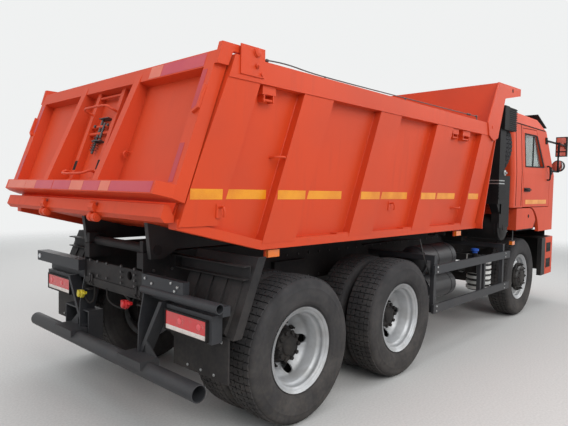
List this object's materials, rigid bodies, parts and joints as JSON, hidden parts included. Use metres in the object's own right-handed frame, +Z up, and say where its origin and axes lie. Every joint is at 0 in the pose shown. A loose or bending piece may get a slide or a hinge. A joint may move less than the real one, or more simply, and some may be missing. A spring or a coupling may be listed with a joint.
{
  "type": "three-axle dump truck",
  "caption": "Rear-tipping dump truck with a ribbed steel bed, swinging tailgate, front hoist, tilting cab, opening doors and steered front wheels.",
  "frame": {"origin": "on the ground, on the centreline, midway between the tailgate's lower beam and the bumper's face", "axes": "+X forward along the vehicle, +Y to its left, +Z up"},
  "size_m": [7.02, 2.64, 2.8997],
  "materials": {
    "body_paint": "satin",
    "chassis_paint": "satin",
    "cast_block": "matte",
    "guard_paint": "satin",
    "tank_paint": "satin",
    "rim_silver": "satin",
    "tyre": "matte",
    "chrome_rod": "polished",
    "black_plastic": "matte",
    "interior": "matte",
    "glass": "polished",
    "lamp_red": "polished",
    "lamp_clear": "polished"
  },
  "bodies": {
    "chassis": {"frame": "chassis_paint", "subframe": "chassis_paint", "front_axle": "chassis_paint", "front_springs": "chassis_paint", "drive_axles": "chassis_paint", "bogie_springs": "chassis_paint", "engine": "cast_block", "bumper": "body_paint", "headlamps": "lamp_clear", "front_mudguards": "body_paint", "rear_mudguards": "black_plastic", "underrun_guard": "chassis_paint", "rear_lamps": "lamp_red", "side_guards": "guard_paint", "side_tanks": "tank_paint", "silencer": "tank_paint", "air_cleaner": "body_paint", "spare_tyre": "tyre", "spare_rim": "rim_silver"},
    "bed": {"bed_floor": "body_paint", "bed_sides": "body_paint", "bed_headboard": "body_paint"},
    "tailgate": {"tailgate": "body_paint"},
    "cab": {"cab_shell": "body_paint", "windscreen": "glass", "seats": "interior", "dashboard": "black_plastic", "cab_trim": "black_plastic", "grille": "black_plastic"},
    "door_left": {"door_left": "body_paint", "door_glass_left": "glass"},
    "door_right": {"door_right": "body_paint", "door_glass_right": "glass"},
    "hoist_barrel": {"hoist_barrel": "chassis_paint"},
    "hoist_stage_1": {"hoist_stage_1": "chrome_rod"},
    "hoist_stage_2": {"hoist_stage_2": "chrome_rod"},
    "hoist_stage_3": {"hoist_stage_3": "chrome_rod"},
    "hoist_stage_4": {"hoist_stage_4": "chrome_rod"},
    "knuckle_left": {"knuckle_left": "chassis_paint"},
    "wheel_front_left": {"tyre_front_left": "tyre", "rim_front_left": "rim_silver"},
    "wheels_middle_left": {"tyres_middle_left": "tyre", "rims_middle_left": "rim_silver"},
    "wheels_rear_left": {"tyres_rear_left": "tyre", "rims_rear_left": "rim_silver"},
    "knuckle_right": {"knuckle_right": "chassis_paint"},
    "wheel_front_right": {"tyre_front_right": "tyre", "rim_front_right": "rim_silver"},
    "wheels_middle_right": {"tyres_middle_right": "tyre", "rims_middle_right": "rim_silver"},
    "wheels_rear_right": {"tyres_rear_right": "tyre", "rims_rear_right": "rim_silver"}
  },
  "joints": [
    {"name": "bed_tilt", "type": "hinge", "parent": "chassis", "child": "bed", "pos_m": [-3.07, 0, 1.19], "axis": [0, -1, 0], "range_deg": [0, 50]},
    {"name": "tailgate_swing", "type": "hinge", "parent": "bed", "child": "tailgate", "pos_m": [-2.89, 0, 2.432], "axis": [0, 1, 0], "range_deg": [0, 75]},
    {"name": "hoist_swing", "type": "hinge", "parent": "chassis", "child": "hoist_barrel", "pos_m": [1.19, 0, 1.18], "axis": [0, -1, 0], "range_deg": [0, 31.2]},
    {"name": "hoist_slide_1", "type": "slide", "parent": "hoist_barrel", "child": "hoist_stage_1", "axis": [0, 0, 1], "range_m": [0, 0.8789]},
    {"name": "hoist_slide_2", "type": "slide", "parent": "hoist_stage_1", "child": "hoist_stage_2", "axis": [0, 0, 1], "range_m": [0, 0.8789]},
    {"name": "hoist_slide_3", "type": "slide", "parent": "hoist_stage_2", "child": "hoist_stage_3", "axis": [0, 0, 1], "range_m": [0, 0.8789]},
    {"name": "hoist_slide_4", "type": "slide", "parent": "hoist_stage_3", "child": "hoist_stage_4", "axis": [0, 0, 1], "range_m": [0, 0.8789]},
    {"name": "cab_tilt", "type": "hinge", "parent": "chassis", "child": "cab", "pos_m": [3.33, 0, 0.85], "axis": [0, 1, 0], "range_deg": [0, 50]},
    {"name": "door_left_swing", "type": "hinge", "parent": "cab", "child": "door_left", "pos_m": [3.006, 1.2, 1.9], "axis": [0, 0, -1], "range_deg": [0, 70]},
    {"name": "door_right_swing", "type": "hinge", "parent": "cab", "child": "door_right", "pos_m": [3.006, -1.2, 1.9], "axis": [0, 0, 1], "range_deg": [0, 70]},
    {"name": "steer_left", "type": "hinge", "parent": "chassis", "child": "knuckle_left", "pos_m": [2.14, 0.85, 0.515], "axis": [0, 0, 1], "range_deg": [-38, 38]},
    {"name": "steer_right", "type": "hinge", "parent": "chassis", "child": "knuckle_right", "pos_m": [2.14, -0.85, 0.515], "axis": [0, 0, 1], "range_deg": [-38, 38]},
    {"name": "wheel_front_left_spin", "type": "hinge", "parent": "knuckle_left", "child": "wheel_front_left", "pos_m": [2.14, 1.013, 0.515], "axis": [0, 1, 0], "continuous": true},
    {"name": "wheels_middle_left_spin", "type": "hinge", "parent": "chassis", "child": "wheels_middle_left", "pos_m": [-1.05, 0.925, 0.515], "axis": [0, 1, 0], "continuous": true},
    {"name": "wheels_rear_left_spin", "type": "hinge", "parent": "chassis", "child": "wheels_rear_left", "pos_m": [-2.37, 0.925, 0.515], "axis": [0, 1, 0], "continuous": true},
    {"name": "wheel_front_right_spin", "type": "hinge", "parent": "knuckle_right", "child": "wheel_front_right", "pos_m": [2.14, -1.013, 0.515], "axis": [0, 1, 0], "continuous": true},
    {"name": "wheels_middle_right_spin", "type": "hinge", "parent": "chassis", "child": "wheels_middle_right", "pos_m": [-1.05, -0.925, 0.515], "axis": [0, 1, 0], "continuous": true},
    {"name": "wheels_rear_right_spin", "type": "hinge", "parent": "chassis", "child": "wheels_rear_right", "pos_m": [-2.37, -0.925, 0.515], "axis": [0, 1, 0], "continuous": true}
  ],
  "couplings": [
    {"joint": "hoist_swing", "follows": "bed_tilt", "ratio": 0.623},
    {"joint": "hoist_slide_1", "follows": "bed_tilt", "m_per_rad": 1.0066},
    {"joint": "hoist_slide_2", "follows": "bed_tilt", "m_per_rad": 1.0066},
    {"joint": "hoist_slide_3", "follows": "bed_tilt", "m_per_rad": 1.0066},
    {"joint": "hoist_slide_4", "follows": "bed_tilt", "m_per_rad": 1.0066},
    {"joint": "steer_right", "follows": "steer_left", "ratio": 1}
  ]
}
